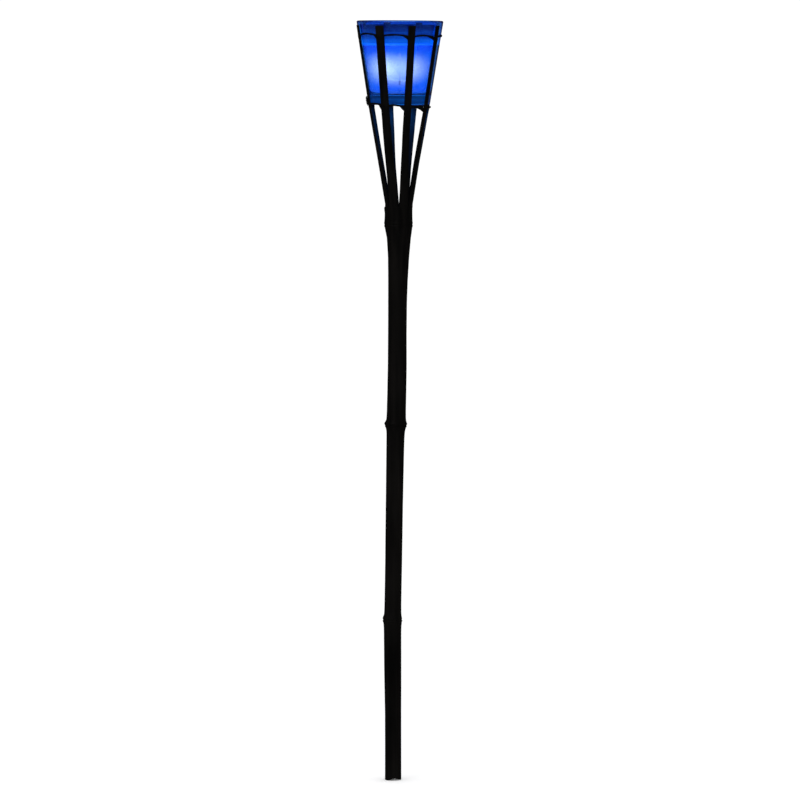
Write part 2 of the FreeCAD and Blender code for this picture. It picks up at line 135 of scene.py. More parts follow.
# ---------------------------------------------------------------- helpers

def blend(x):
    x = min(1.0, max(0.0, x))
    return x * x * (3 - 2 * x)


def along(points, x):
    for (x0, v0), (x1, v1) in zip(points, points[1:]):
        if x <= x1:
            return v0 + (v1 - v0) * (x - x0) / (x1 - x0)
    return points[-1][1]


def bump_at(x, width):
    return math.exp(-(x / width) ** 2)


def wobble(x, y, z, seed):
    """Smooth noise from about -1 to 1."""
    return noise.noise(Vector((x + 31.7 * seed, y - 17.3 * seed, z + 5.1 * seed)))


def head_point(x, y, z):
    """A point given in millimetres in the head's frame, in metres in the row's."""
    return HEAD @ Vector((x * MM, y * MM, z * MM))


def new_object(name, mesh_maker, smooth_angle=40):
    mesh = bpy.data.meshes.new(name)
    bm = bmesh.new()
    mesh_maker(bm)
    bmesh.ops.recalc_face_normals(bm, faces=bm.faces)
    bm.to_mesh(mesh)
    bm.free()
    for face in mesh.polygons:
        face.use_smooth = True
    mesh.set_sharp_from_angle(angle=math.radians(smooth_angle))
    piece = bpy.data.objects.new(name, mesh)
    scene.collection.objects.link(piece)
    return piece


def bridge(bm, low, high):
    """A band of faces between two rings of as many vertices."""
    count = len(low)
    for i in range(count):
        j = (i + 1) % count
        bm.faces.new((low[i], low[j], high[j], high[i]))


def cap(bm, row, point):
    """Fills a ring of vertices with faces that meet in a point."""
    middle = bm.verts.new(point)
    for i in range(len(row)):
        bm.faces.new((row[i], row[(i + 1) % len(row)], middle))


def skin(bm, rings, closed=False):
    """Joins rings of points into a surface; both ends are filled unless the path is closed."""
    rows = [[bm.verts.new(p) for p in ring] for ring in rings]
    pairs = list(zip(rows, rows[1:]))
    if closed:
        pairs.append((rows[-1], rows[0]))
    for low, high in pairs:
        bridge(bm, low, high)
    if not closed:
        for row in (rows[0], rows[-1]):
            cap(bm, row, sum((v.co for v in row), Vector()) / len(row))


def lathe(bm, profile, sides=SIDES, shake=None):
    """Turns (radius, height) points round the head's axis. The first and last lie on the axis."""
    def ring(radius, height):
        points = []
        for i in range(sides):
            a = TAU * i / sides
            r, z = shake(radius, height, a) if shake else (radius, height)
            points.append(head_point(r * math.sin(a), -r * math.cos(a), z))
        return points

    rows = [[bm.verts.new(p) for p in ring(r, z)] for r, z in profile[1:-1]]
    for low, high in zip(rows, rows[1:]):
        bridge(bm, low, high)
    for row, (_, z) in ((rows[0], profile[0]), (rows[-1], profile[-1])):
        cap(bm, row, head_point(0, 0, z))


def rounded(points, radii, steps=7):
    """The (radius, height) corners with each inner corner rounded to its radius."""
    out = [points[0]]
    for before, corner, after, radius in zip(points, points[1:], points[2:], radii):
        p, a, b = Vector(corner), Vector(before), Vector(after)
        back = (a - p).normalized()
        ahead = (b - p).normalized()
        half = (math.pi - back.angle(ahead)) / 2
        reach = radius * math.tan(half)
        start = p + back * reach
        end = p + ahead * reach
        for k in range(steps + 1):
            t = k / steps
            q = start * (1 - t) ** 2 + p * 2 * t * (1 - t) + end * t ** 2
            out.append((q.x, q.y))
    out.append(points[-1])
    return out


def refined(points, step):
    """The same outline with points at most a step apart."""
    out = [points[0]]
    for a, b in zip(points, points[1:]):
        length = math.hypot(b[0] - a[0], b[1] - a[1])
        count = max(1, math.ceil(length / step))
        for k in range(1, count + 1):
            out.append((a[0] + (b[0] - a[0]) * k / count, a[1] + (b[1] - a[1]) * k / count))
    return out


def lathe_profile(corners, radii, step):
    """The rounded outline of a turned piece, with close points between its two ends on the axis."""
    profile = rounded(corners, radii)
    return [profile[0]] + refined(profile[1:-1], step) + [profile[-1]]


# ---------------------------------------------------------------- materials

def material(name):
    made = bpy.data.materials.new(name)
    made.use_nodes = True
    tree = made.node_tree
    tree.nodes.clear()
    output = tree.nodes.new("ShaderNodeOutputMaterial")
    return made, tree, output


def link(tree, a, b):
    tree.links.new(a, b)


def object_noise(tree, scale, stretch=(1, 1, 1), detail=4.0):
    coords = tree.nodes.new("ShaderNodeTexCoord")
    mapping = tree.nodes.new("ShaderNodeMapping")
    mapping.inputs["Scale"].default_value = stretch
    texture = tree.nodes.new("ShaderNodeTexNoise")
    texture.inputs["Scale"].default_value = scale
    texture.inputs["Detail"].default_value = detail
    link(tree, coords.outputs["Object"], mapping.inputs["Vector"])
    link(tree, mapping.outputs["Vector"], texture.inputs["Vector"])
    return texture.outputs["Fac"]


def ramp(tree, source, stops):
    node = tree.nodes.new("ShaderNodeValToRGB")
    elements = node.color_ramp.elements
    while len(elements) < len(stops):
        elements.new(0.5)
    for element, (place, colour) in zip(elements, stops):
        element.position = place
        element.color = (*colour, 1.0)
    link(tree, source, node.inputs["Fac"])
    return node.outputs["Color"]


def fitted(tree, source, low, high, to_low, to_high):
    node = tree.nodes.new("ShaderNodeMapRange")
    node.inputs["From Min"].default_value = low
    node.inputs["From Max"].default_value = high
    node.inputs["To Min"].default_value = to_low
    node.inputs["To Max"].default_value = to_high
    link(tree, source, node.inputs["Value"])
    return node.outputs["Result"]


def bump(tree, source, strength, distance):
    node = tree.nodes.new("ShaderNodeBump")
    node.inputs["Strength"].default_value = strength
    node.inputs["Distance"].default_value = distance
    link(tree, source, node.inputs["Height"])
    return node.outputs["Normal"]


def mixed(tree, kind, a, b):
    """Two colours multiplied or added, with no upper limit."""
    node = tree.nodes.new("ShaderNodeMix")
    node.data_type = "RGBA"
    node.blend_type = kind
    node.inputs["Factor"].default_value = 1.0
    link(tree, a, node.inputs["A"])
    link(tree, b, node.inputs["B"])
    return node.outputs["Result"]


def scaled_colour(tree, share, colour):
    """A colour times a plain value, with no upper limit."""
    node = tree.nodes.new("ShaderNodeVectorMath")
    node.operation = "SCALE"
    node.inputs[0].default_value = colour
    link(tree, share, node.inputs["Scale"])
    return node.outputs["Vector"]


def maths(tree, operation, source, value=None, clamp=False):
    node = tree.nodes.new("ShaderNodeMath")
    node.operation = operation
    node.use_clamp = clamp
    link(tree, source, node.inputs[0])
    if value is not None:
        node.inputs[1].default_value = value
    return node.outputs[0]


def height_share(tree, low, high):
    """0 at one height of the row frame and 1 at another, in metres."""
    coords = tree.nodes.new("ShaderNodeTexCoord")
    split = tree.nodes.new("ShaderNodeSeparateXYZ")
    link(tree, coords.outputs["Object"], split.inputs["Vector"])
    return fitted(tree, split.outputs["Z"], low, high, 0.0, 1.0)


def near_black_bamboo(name, dark, light, fibre_scale, roughness=(0.42, 0.62), specular=0.10):
    """Near-black bamboo: long fibres up the stem, blotches of darker and lighter tone."""
    made, tree, output = material(name)
    shader = tree.nodes.new("ShaderNodeBsdfPrincipled")
    fibres = object_noise(tree, fibre_scale, (1, 1, 0.03), 6.0)
    blotches = object_noise(tree, 28.0, (1, 1, 0.35), 3.0)
    mix = tree.nodes.new("ShaderNodeMath")
    mix.operation = "MULTIPLY_ADD"
    mix.inputs[1].default_value = 0.55
    link(tree, fibres, mix.inputs[0])
    link(tree, fitted(tree, blotches, 0.3, 0.7, 0.0, 0.45), mix.inputs[2])
    link(tree, ramp(tree, mix.outputs[0], [(0.3, dark), (0.75, light)]), shader.inputs["Base Color"])
    link(tree, fitted(tree, blotches, 0.3, 0.7, *roughness), shader.inputs["Roughness"])
    link(tree, bump(tree, fibres, 0.35, 0.0004), shader.inputs["Normal"])
    shader.inputs["Specular IOR Level"].default_value = specular
    link(tree, shader.outputs["BSDF"], output.inputs["Surface"])
    return made


def light_path_mix(tree, kind, plain, special):
    """The plain shader, except for the kind of ray named."""
    path = tree.nodes.new("ShaderNodeLightPath")
    mix = tree.nodes.new("ShaderNodeMixShader")
    link(tree, path.outputs[kind], mix.inputs["Fac"])
    link(tree, plain, mix.inputs[1])
    link(tree, special, mix.inputs[2])
    return mix.outputs["Shader"]


def blue_glass(low, high):
    """Clear blue pressed glass: its tint banded by height, dark at the foot of its solid base and darker
    where it is seen at a slant, with painted shade at the rim and painted glow in the base and above the
    wax.
    """
    made, tree, output = material("blue_glass")
    shader = tree.nodes.new("ShaderNodeBsdfPrincipled")
    shader.inputs["Transmission Weight"].default_value = 1.0
    shader.inputs["IOR"].default_value = 1.5
    shader.inputs["Specular IOR Level"].default_value = 0.3
    # tint by height: dark at the foot, lighter through the solid base, a dark band where the base meets the
    # wall, the wall's blue, a little lighter from the top of the wax up, then painted shade darkening the
    # very rim
    depth = ramp(tree, height_share(tree, low, high), [
        (0.0, (0.001, 0.03, 0.18)), (0.03, (0.002, 0.09, 0.36)), (0.06, (0.004, 0.24, 0.80)),
        (0.105, (0.004, 0.22, 0.80)), (0.125, (0.004, 0.03, 0.30)), (0.15, (0.039, 0.185, 0.593)),
        (0.70, (0.039, 0.185, 0.593)), (0.74, (0.030, 0.20, 0.68)), (0.97, (0.030, 0.20, 0.68)),
        (1.0, (0.001, 0.02, 0.10))])
    waves = object_noise(tree, 9.0, (1, 1, 3.0), 1.0)
    uneven = ramp(tree, waves, [(0.3, (0.90, 0.90, 0.94)), (0.7, (1.0, 1.0, 1.0))])
    slant = tree.nodes.new("ShaderNodeLayerWeight")
    slant.inputs["Blend"].default_value = 0.35
    edge = ramp(tree, slant.outputs["Facing"], [
        (0.0, (1, 1, 1)), (0.38, (0.8, 0.85, 0.9)), (0.52, (0.20, 0.30, 0.45)),
        (0.64, (0.0, 0.01, 0.04)), (1.0, (0, 0, 0))])
    tint = mixed(tree, "MULTIPLY", mixed(tree, "MULTIPLY", depth, uneven), edge)
    link(tree, tint, shader.inputs["Base Color"])
    link(tree, fitted(tree, waves, 0.3, 0.7, 0.0, 0.02), shader.inputs["Roughness"])
    link(tree, bump(tree, waves, 0.25, 0.003), shader.inputs["Normal"])
    # painted glow: the candle's light painted as blue emission in the solid base and in the wall just above
    # the wax, in level streaks
    painted_glow = ramp(tree, height_share(tree, low, high), [
        (0.0, (0, 0, 0.03)), (0.03, (0, 0.018, 0.10)), (0.10, (0, 0.026, 0.12)),
        (0.115, (0, 0.01, 0.05)), (0.13, (0, 0, 0)), (0.70, (0, 0, 0)), (0.73, (0.0, 0.085, 0.36)),
        (0.80, (0.0, 0.034, 0.17)), (0.92, (0, 0.004, 0.04))])
    streak_noise = object_noise(tree, 30.0, (0.6, 0.6, 14.0), 2.0)
    glow_streaks = ramp(tree, streak_noise, [(0.35, (0.55, 0.55, 0.6)), (0.65, (1, 1, 1))])
    link(tree, mixed(tree, "MULTIPLY", painted_glow, glow_streaks), shader.inputs["Emission Color"])
    shader.inputs["Emission Strength"].default_value = 1.0
    clear = tree.nodes.new("ShaderNodeBsdfTransparent")
    clear.inputs["Color"].default_value = (0.2, 0.43, 0.77, 1)
    link(tree, light_path_mix(tree, "Is Shadow Ray", shader.outputs["BSDF"], clear.outputs["BSDF"]),
         output.inputs["Surface"])
    return made


def glow_field(tree, size):
    """Greatest at the middle of the glow, falling off softly to nothing; size is sideways and upwards."""
    wide, high = size
    coords = tree.nodes.new("ShaderNodeTexCoord")
    shift = tree.nodes.new("ShaderNodeVectorMath")
    shift.operation = "SUBTRACT"
    shift.inputs[1].default_value = GLOW_CENTRE
    link(tree, coords.outputs["Object"], shift.inputs[0])
    scale = tree.nodes.new("ShaderNodeVectorMath")
    scale.operation = "DIVIDE"
    scale.inputs[1].default_value = (wide, wide, high)
    link(tree, shift.outputs["Vector"], scale.inputs[0])
    square = tree.nodes.new("ShaderNodeVectorMath")
    square.operation = "DOT_PRODUCT"
    link(tree, scale.outputs["Vector"], square.inputs[0])
    link(tree, scale.outputs["Vector"], square.inputs[1])
    falloff = maths(tree, "EXPONENT", maths(tree, "MULTIPLY", square.outputs["Value"], -1.0))
    return maths(tree, "SUBTRACT", falloff, GLOW_CUT, clamp=True)


def lit_wax():
    """Translucent wax with painted glow: blue light painted on its dim blue-white skin, fainter at the
    bottom and top, and the flame's light painted round the flame on the skin and through its body.
    """
    made, tree, output = material("lit_wax")
    low, high = (c[2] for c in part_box("wax"))
    shader = tree.nodes.new("ShaderNodeBsdfPrincipled")
    mottle = object_noise(tree, 90.0, (1, 1, 1), 4.0)
    base = ramp(tree, mottle, [(0.3, (0.13, 0.26, 0.38)), (0.7, (0.18, 0.32, 0.44))])
    link(tree, base, shader.inputs["Base Color"])
    shader.inputs["Roughness"].default_value = 0.35
    # painted glow: blue light painted on the wax's skin by height
    skin_light = ramp(tree, height_share(tree, low, high), [
        (0.0, (0.00, 0.20, 0.45)), (0.10, (0.00, 0.27, 1.0)), (0.3, (0.0, 0.40, 1.0)),
        (0.75, (0.0, 0.38, 1.0)), (0.92, (0.00, 0.20, 1.0)), (1.0, (0.00, 0.15, 0.9))])
    bright_skin = mixed(tree, "ADD", skin_light, skin_light)
    # painted glow: the flame's light painted on the skin round the flame
    flame_colour = (SKIN_LIGHT, 0.25 * SKIN_LIGHT, 0.02 * SKIN_LIGHT)
    near_flame = scaled_colour(tree, glow_field(tree, SKIN_GLOW), flame_colour)
    link(tree, mixed(tree, "ADD", bright_skin, near_flame), shader.inputs["Emission Color"])
    shader.inputs["Emission Strength"].default_value = 1.0
    clear = tree.nodes.new("ShaderNodeBsdfTransparent")
    mix = tree.nodes.new("ShaderNodeMixShader")
    mix.inputs["Fac"].default_value = 0.5
    link(tree, clear.outputs["BSDF"], mix.inputs[1])
    link(tree, shader.outputs["BSDF"], mix.inputs[2])
    link(tree, mix.outputs["Shader"], output.inputs["Surface"])
    # painted glow: the flame's light painted as emission through the wax's body
    inside = tree.nodes.new("ShaderNodeEmission")
    inside.inputs["Color"].default_value = (1.0, 0.25, 0.03, 1)
    strength = maths(tree, "MULTIPLY", glow_field(tree, BODY_GLOW), BODY_LIGHT)
    link(tree, strength, inside.inputs["Strength"])
    link(tree, inside.outputs["Emission"], output.inputs["Volume"])
    return made


def flame_material(low, high):
    made, tree, output = material("flame")
    shader = tree.nodes.new("ShaderNodeBsdfPrincipled")
    shader.inputs["Base Color"].default_value = (0.02, 0.02, 0.02, 1)
    shader.inputs["Roughness"].default_value = 1.0
    light = ramp(tree, height_share(tree, low, high), [
        (0.0, (0.3, 0.15, 0.2)), (0.18, (0.7, 0.3, 0.1)), (0.4, (1.0, 0.38, 0.08)),
        (1.0, (0.9, 0.25, 0.03))])
    link(tree, light, shader.inputs["Emission Color"])
    shader.inputs["Emission Strength"].default_value = 9.0
    link(tree, shader.outputs["BSDF"], output.inputs["Surface"])
    return made


def charred_wick(low, high):
    made, tree, output = material("charred_wick")
    shader = tree.nodes.new("ShaderNodeBsdfPrincipled")
    braid = object_noise(tree, 900.0, (1, 1, 0.5), 2.0)
    char = ramp(tree, braid, [(0.3, (0.006, 0.005, 0.005)), (0.7, (0.05, 0.04, 0.035))])
    link(tree, char, shader.inputs["Base Color"])
    shader.inputs["Roughness"].default_value = 0.9
    # the glowing end of the wick, with the glow of the lit wax behind it painted on as well
    ember_and_painted_glow = ramp(tree, height_share(tree, low, high), [
        (0.3, (0, 0, 0)), (0.55, (0.5, 0.13, 0.02)), (1.0, (1.0, 0.2, 0.02))])
    link(tree, ember_and_painted_glow, shader.inputs["Emission Color"])
    shader.inputs["Emission Strength"].default_value = 8.0
    link(tree, shader.outputs["BSDF"], output.inputs["Surface"])
    return made


def tinned_sheet():
    made, tree, output = material("tinned_sheet")
    shader = tree.nodes.new("ShaderNodeBsdfPrincipled")
    grain = object_noise(tree, 400.0, (1, 1, 1), 3.0)
    metal = ramp(tree, grain, [(0.3, (0.45, 0.45, 0.47)), (0.7, (0.66, 0.66, 0.68))])
    link(tree, metal, shader.inputs["Base Color"])
    shader.inputs["Metallic"].default_value = 1.0
    link(tree, fitted(tree, grain, 0.3, 0.7, 0.25, 0.45), shader.inputs["Roughness"])
    link(tree, shader.outputs["BSDF"], output.inputs["Surface"])
    return made


# ---------------------------------------------------------------- culm

culm_cad = frame["nodes"]["culm"]


def culm_section(z):
    """(centre x, radius) of the CAD culm's outside at height z."""
    left = culm_cad.ray_cast(Vector((-0.2, 0, z)), Vector((1, 0, 0)))
    right = culm_cad.ray_cast(Vector((0.2, 0, z)), Vector((-1, 0, 0)))
    return (left[1].x + right[1].x) / 2, (right[1].x - left[1].x) / 2


NODE_HEIGHTS = [0.1936, 0.4276, 0.6676]
NODE_BANDS = [(-1.5, 0.75, 0.42), (-0.1, 0.8, -0.42), (1.9, 1.3, 0.20)]  # place, half width, rise: in mm
BUD_AZIMUTHS = [-84, -96, 60]
BUD_RISE = 0.75
BUD_GROOVE = 0.28  # depth of the groove that runs up from a bud
CULM_BORE = 0.0064
NOTCH = (0.0020, 0.0029, 0.0086)  # crown's x, depth and half width


def culm_heights():
    heights = {0.0, 0.0006, 0.002, 0.004, 0.008}
    z = 0.012
    while z < ROOT_Z - 0.004:
        nearest = min(abs(z - n) for n in NODE_HEIGHTS)
        heights.add(round(z, 5))
        z += 0.0007 if nearest < 0.008 else 0.002 if nearest < 0.02 else 0.006
    heights.add(ROOT_Z - 0.0015)
    return sorted(heights)


def culm_relief(z, azimuth):
    """Metres that the surface stands out from the CAD's smooth one."""
    out = 0.16 * wobble(math.sin(azimuth) * 0.8, math.cos(azimuth) * 0.8, z * 9, 1)
    out += 0.05 * wobble(math.sin(azimuth) * 3, math.cos(azimuth) * 3, z * 60, 2)
    for index, node in enumerate(NODE_HEIGHTS):
        ragged = 0.5 * wobble(math.sin(azimuth) * 2.2, math.cos(azimuth) * 2.2, index, 3 + index)
        d = (z - node) * 1000 - ragged
        for place, width, rise in NODE_BANDS:
            out += rise * bump_at(d - place, width)
        bud = math.radians(BUD_AZIMUTHS[index])
        turn = (azimuth - bud + math.pi) % TAU - math.pi
        out += BUD_RISE * bump_at(turn, 0.30) * bump_at(d - 2.6, 2.6)
        out -= BUD_GROOVE * bump_at(turn, 0.22) * blend(d / 8) * (1 - blend((d - 8) / 70))
    fade = 1 - blend((z - (ROOT_Z - 0.006)) / 0.005)
    turn = (azimuth + math.pi / 2 + math.pi) % TAU - math.pi
    knob = 1.0 * bump_at(turn, 0.45) * bump_at((z - ROOT_Z) * 1000 + 2.6, 3.0)
    return (out * fade + knob) * MM


def notch_rise(x, z):
    crown, depth, half = NOTCH
    rise = max(0.0, depth * (1 - abs(x - crown) / half) - 0.0002)
    return rise * max(0.0, 1 - z / 0.008)


def culm_mesh(bm):
    def ring(centre, radius, z, relief=True, notch=False, head=False):
        points = []
        for i in range(SIDES):
            a = TAU * i / SIDES
            r = radius + (culm_relief(z, a) if relief else 0.0)
            if head:
                points.append(HEAD @ Vector((r * math.sin(a), -r * math.cos(a), z)))
                continue
            x, y = centre + r * math.sin(a), -r * math.cos(a)
            lift = notch_rise(x, z) if notch else 0.0
            chip = 0.00012 * abs(wobble(x * 900, y * 900, 0, 8)) if z == 0.0 else 0.0
            points.append(Vector((x, y, z + lift + chip)))
        return points

    rings = [ring(0, CULM_BORE, NODE_HEIGHTS[0] - 0.0025, relief=False)]
    for z in (0.10, 0.03, 0.008, 0.003, 0.0005):
        rings.append(ring(0, CULM_BORE, z, relief=False, notch=True))
    rings.append(ring(0, CULM_BORE + 0.0004, 0.0, relief=False, notch=True))
    centre, radius = culm_section(0.004)
    rings.append(ring(centre, radius - 0.0012, 0.0, relief=False, notch=True))
    rings.append(ring(centre, radius - 0.0004, 0.0, notch=True))
    for z in culm_heights()[1:]:
        centre, radius = culm_section(max(z, 0.004))
        rings.append(ring(centre, radius, z, notch=True))
    outer = SPLIT_RADIUS * MM
    inner = (SPLIT_RADIUS - WALL) * MM
    rings.append(ring(0, outer, 0.0, relief=False, head=True))
    rings.append(ring(0, inner, 0.0, relief=False, head=True))
    rings.append(ring(0, inner, -0.014, relief=False, head=True))
    rings.append(ring(0, inner - 0.0025, -0.0185, relief=False, head=True))
    skin(bm, rings)


# ---------------------------------------------------------------- staves

def stave_radius(z):
    return along([(-5.0, SPLIT_RADIUS), (ROOT_STRAIGHT, SPLIT_RADIUS), BEND, TOP], z)


def stave_slope(z):
    return math.atan((stave_radius(z + 2) - stave_radius(z - 2)) / 4)


def stave_width(index, z):
    root = 2 * SPLIT_RADIUS * math.sin(STAVE_PITCH / 2) - KERF
    return root + (WIDTHS[index] - root) * blend(z / NARROWS_OVER)


def stave_azimuth(index, z):
    return math.radians(FIRST_AZIMUTH + TWIST[1] * blend(z / TWIST[0])) + index * STAVE_PITCH


def on_stave(index, u, outward, z):
    """A point beside stave index: u across it, outward from its outer face, in the row frame."""
    a = stave_azimuth(index, z)
    r = stave_radius(z) + outward
    x = u + DRIFTS[index] * blend(z / DRIFT_OVER)
    return head_point(x * math.cos(a) + r * math.sin(a), x * math.sin(a) - r * math.cos(a), z)


def stave_ring(index, z):
    fine = blend(z / 12.0)
    wide = stave_width(index, z) * (1 + 0.022 * fine * wobble(z * 0.05, index * 3.0, 0, 11))
    sway = 0.22 * fine * wobble(z * 0.02, index * 5.0, 0, 12)
    pared = blend(z / PARED_OVER)
    thick = WALL + (STAVE_THICKNESS - WALL) * pared
    thick += 0.10 * pared * wobble(z * 0.06, index * 2.0, 0, 13)
    half = wide / 2
    chamfer = STAVE_CHAMFER * fine + 0.02
    sag = SPLIT_RADIUS - math.sqrt(SPLIT_RADIUS ** 2 - half ** 2)
    inner_radius = SPLIT_RADIUS - thick
    inner_half_curved = half * inner_radius / SPLIT_RADIUS
    points = []
    for k in range(-5, 6):
        u = (half - chamfer) * k / 5
        points.append((u, -(SPLIT_RADIUS - math.sqrt(SPLIT_RADIUS ** 2 - u ** 2))))
    points.append((half, -sag - chamfer))
    low_u = inner_half_curved + (half - 0.25 - inner_half_curved) * pared
    for k in range(5, -6, -1):
        u = (low_u - chamfer * 0.5) * k / 5
        curved = -thick - (inner_radius - math.sqrt(inner_radius ** 2 - u ** 2))
        fibres = 0.07 * pared * wobble(u * 1.4, z * 0.03, index, 14)
        points.append((u, curved + (-thick - curved) * pared + fibres))
    points.append((-half, -sag - chamfer))
    rise = 0.0
    if z >= TOP[0] - 0.01:
        rise = 0.25 * wobble(index * 4.0, 1, 2, 15)
    return [on_stave(index, u + sway, w, z + rise) for u, w in points]


def stave_mesh(index):
    def make(bm):
        heights = [-0.6, 0.0, 1.5, 3.0, 5.0, 8.0, 12.0]
        z = 17.0
        while z < TOP[0] - 1.5:
            heights.append(z)
            z += 4.0
        heights += [TOP[0] - 1.0, TOP[0] - 0.25]
        rings = [stave_ring(index, h) for h in heights]
        last = rings[-1]
        middle = sum(last, Vector()) / len(last)
        lift = HEAD.to_3x3() @ Vector((0, 0, 0.00025))
        rings.append([p + (middle - p) * 0.05 + lift for p in last])
        skin(bm, rings)
    return make


# ---------------------------------------------------------------- lashings

def lashing_fall(height, tilt, azimuth):
    return stave_radius(height) * math.tan(math.radians(tilt)) * math.sin(azimuth)


def loop_path(half_u, front, back, corner):
    """Points and outward directions round a rounded rectangle, with extra points on its long sides."""
    corners = [(-half_u, front, 1, -1, math.pi), (half_u, front, -1, -1, math.pi / 2),
               (half_u, back, -1, 1, 0), (-half_u, back, 1, 1, -math.pi / 2)]
    path = []
    for u, w, side_u, side_w, start in corners:
        for k in range(6):
            a = start - math.pi / 2 * k / 5
            n = (math.cos(a), math.sin(a))
            path.append(((u + (side_u + n[0]) * corner, w + (side_w + n[1]) * corner), n))
    filled = []
    for (p, n), (q, _) in zip(path, path[1:] + path[:1]):
        filled.append((p, n))
        if math.dist(p, q) > 2:
            for k in range(1, 7):
                filled.append(((p[0] + (q[0] - p[0]) * k / 7, p[1] + (q[1] - p[1]) * k / 7), n))
    return filled


STRIP_SECTION = [(-1, -0.82), (-0.72, -1), (0, -1), (0.72, -1), (1, -0.82),
                 (1, 0.82), (0.72, 1), (0, 1), (-0.72, 1), (-1, 0.82)]


def strip_loop(bm, index, level, slant, clear, width, thick):
    """A closed turn of cane strip round one stave."""
    middle = clear + thick / 2
    path = loop_path(stave_width(index, level) / 2 + middle, middle, -(STAVE_THICKNESS + middle), 0.5)
    slope = math.tan(slant)
    lean = stave_slope(level)
    rings = []
    for (u, w), (nu, nw) in path:
        if w > -STAVE_THICKNESS / 2:
            w -= SPLIT_RADIUS - math.sqrt(SPLIT_RADIUS ** 2 - u ** 2)
        ring = []
        for a, b in STRIP_SECTION:
            edge = thick / 2 * a * (1 - 0.12 * b * b)
            uu = u + nu * edge
            ww = w + nw * edge
            v = width / 2 * b - slope * u
            z = level + v * math.cos(lean) - ww * math.sin(lean)
            outward = ww * math.cos(lean) + v * math.sin(lean) - (stave_radius(z) - stave_radius(level))
            ring.append(on_stave(index, uu, outward, z))
        rings.append(ring)
    skin(bm, rings, closed=True)


def squared(x):
    """A sine or cosine pushed outwards, so that a circle becomes a rounded square."""
    return math.copysign(abs(x) ** 0.7, x)


def span(bm, index, lashing, arch, drop, rng):
    """The strip twisted edge-on between stave index and the next; it opens into a wedge before the next."""
    height, tilt = lashing
    after = (index + 1) % STAVE_COUNT
    circle = cup_outside(height + SPAN_ABOVE) + SPAN_OUTSIDE
    start = stave_azimuth(index, height)
    start += (stave_width(index, height) / 2 - SPAN_TUCK + DRIFTS[index]) / circle
    end = stave_azimuth(index, height) + STAVE_PITCH
    end -= (stave_width(after, height) / 2 - SPAN_TUCK - DRIFTS[after]) / circle
    length = (end - start) * circle
    reach = WEDGE_REACHES.get(index, WEDGE_REACH)
    if math.cos(end) < 0:
        drop = BACK_WEDGE_DROP
    rise = rng.uniform(*arch)
    wave = rng.uniform(-0.2, 0.2)
    turns = rng.uniform(1.2, 1.8)
    rings = []
    count = 44
    for k in range(count + 1):
        s = length * k / count
        a = start + (end - start) * k / count
        shoulder = blend(s / 3.0) * blend((length - s) / 5.0)
        level = height + SPAN_ABOVE - lashing_fall(height, tilt, a)
        level += rise * (math.sin(math.pi * s / length) - 0.4) + wave * math.sin(TAU * s / length)
        leaving = 1 - blend(s / 1.6)
        coming = max(0.0, 1 - (length - s - SPAN_TUCK) / reach)
        bottom = -SPAN_BOTTOM - 0.5 * leaving - drop * coming
        thick = SPAN_THICK - 0.45 * max(leaving, coming)
        half = (SPAN_TOP - bottom) / 2
        middle = (SPAN_TOP + bottom) / 2
        twist = TAU * turns * k / count * shoulder
        ring = []
        for i in range(14):
            t = TAU * i / 14
            ridge = 1 + 0.10 * shoulder * math.cos(2 * t + twist)
            r = circle + thick / 2 * squared(math.cos(t)) * ridge
            z = level + middle + half * squared(math.sin(t)) * ridge
            ring.append(head_point(r * math.sin(a), -r * math.cos(a), z))
        rings.append(ring)
    skin(bm, rings)


def knot(bm, index, level):
    """The strip's tied-off end: a tight coil lying up a stave's outer face."""
    rings = []
    count = 150
    for k in range(count + 1):
        t = k / count
        a = TAU * KNOT_TURNS * t
        thick = KNOT_STRIP * (0.55 + 0.45 * blend(min(t, 1 - t) * 12))
        ring = []
        for i in range(10):
            b = TAU * i / 10
            reach = KNOT_COIL * (0.35 + 0.65 * math.sin(math.pi * t)) + thick * math.cos(b)
            z = level + KNOT_LOW + (KNOT_HIGH - KNOT_LOW) * t + thick * math.sin(b)
            ring.append(on_stave(index, reach * math.sin(a), KNOT_OUT + reach * math.cos(a), z))
        rings.append(ring)
    skin(bm, rings)


def lashing_mesh(lashing, arch, drop, seed, knot_stave=None):
    height, tilt = lashing

    def make(bm):
        rng = random.Random(seed)
        for index in range(STAVE_COUNT):
            level = height - lashing_fall(height, tilt, stave_azimuth(index, height))
            for shift, slants, clear, width in STRIP_TURNS:
                place = level + rng.uniform(-shift, shift)
                slant = math.radians(rng.uniform(*slants))
                strip_loop(bm, index, place, slant, clear, width, STRIP_THICK)
            span(bm, index, lashing, arch, drop, rng)
            if index == knot_stave:
                knot(bm, index, level)
    return make


# ---------------------------------------------------------------- cup and candle

def cup_outside(z):
    outline = [(CUP_FLOOR - 1, CUP_FOOT_RADIUS), (CUP_FLOOR, CUP_FOOT_RADIUS), (CUP_TOP, CUP_RIM_RADIUS)]
    return along(outline, z)


def cup_mesh(bm):
    low, top = CUP_FLOOR, CUP_TOP
    floor = low + CUP_BASE
    corners = [(0, low + 1.4), (24.2, low + 1.4), (27.0, low), (CUP_FOOT_RADIUS, low),
               (cup_outside(top), top), (cup_outside(top) - CUP_WALL, top),
               (cup_outside(floor) - CUP_WALL, floor), (0, floor)]
    profile = lathe_profile(corners, [1.0, 0.8, 4.0, 1.7, 1.4, 6.0], 3.0)

    def shake(r, z, a):
        thick = 0.05 * wobble(math.sin(a), math.cos(a), z * 0.03, 21)
        press = 0.06 * wobble(math.sin(a) * 2, math.cos(a) * 2, z * 0.25, 22) * bump_at(z - low - 5, 7)
        wavy = 0.12 * wobble(math.sin(a) * 0.7, math.cos(a) * 0.7, 0, 23) * blend((z - low) / 90)
        return r + thick + press, z + wavy

    lathe(bm, profile, 144, shake)


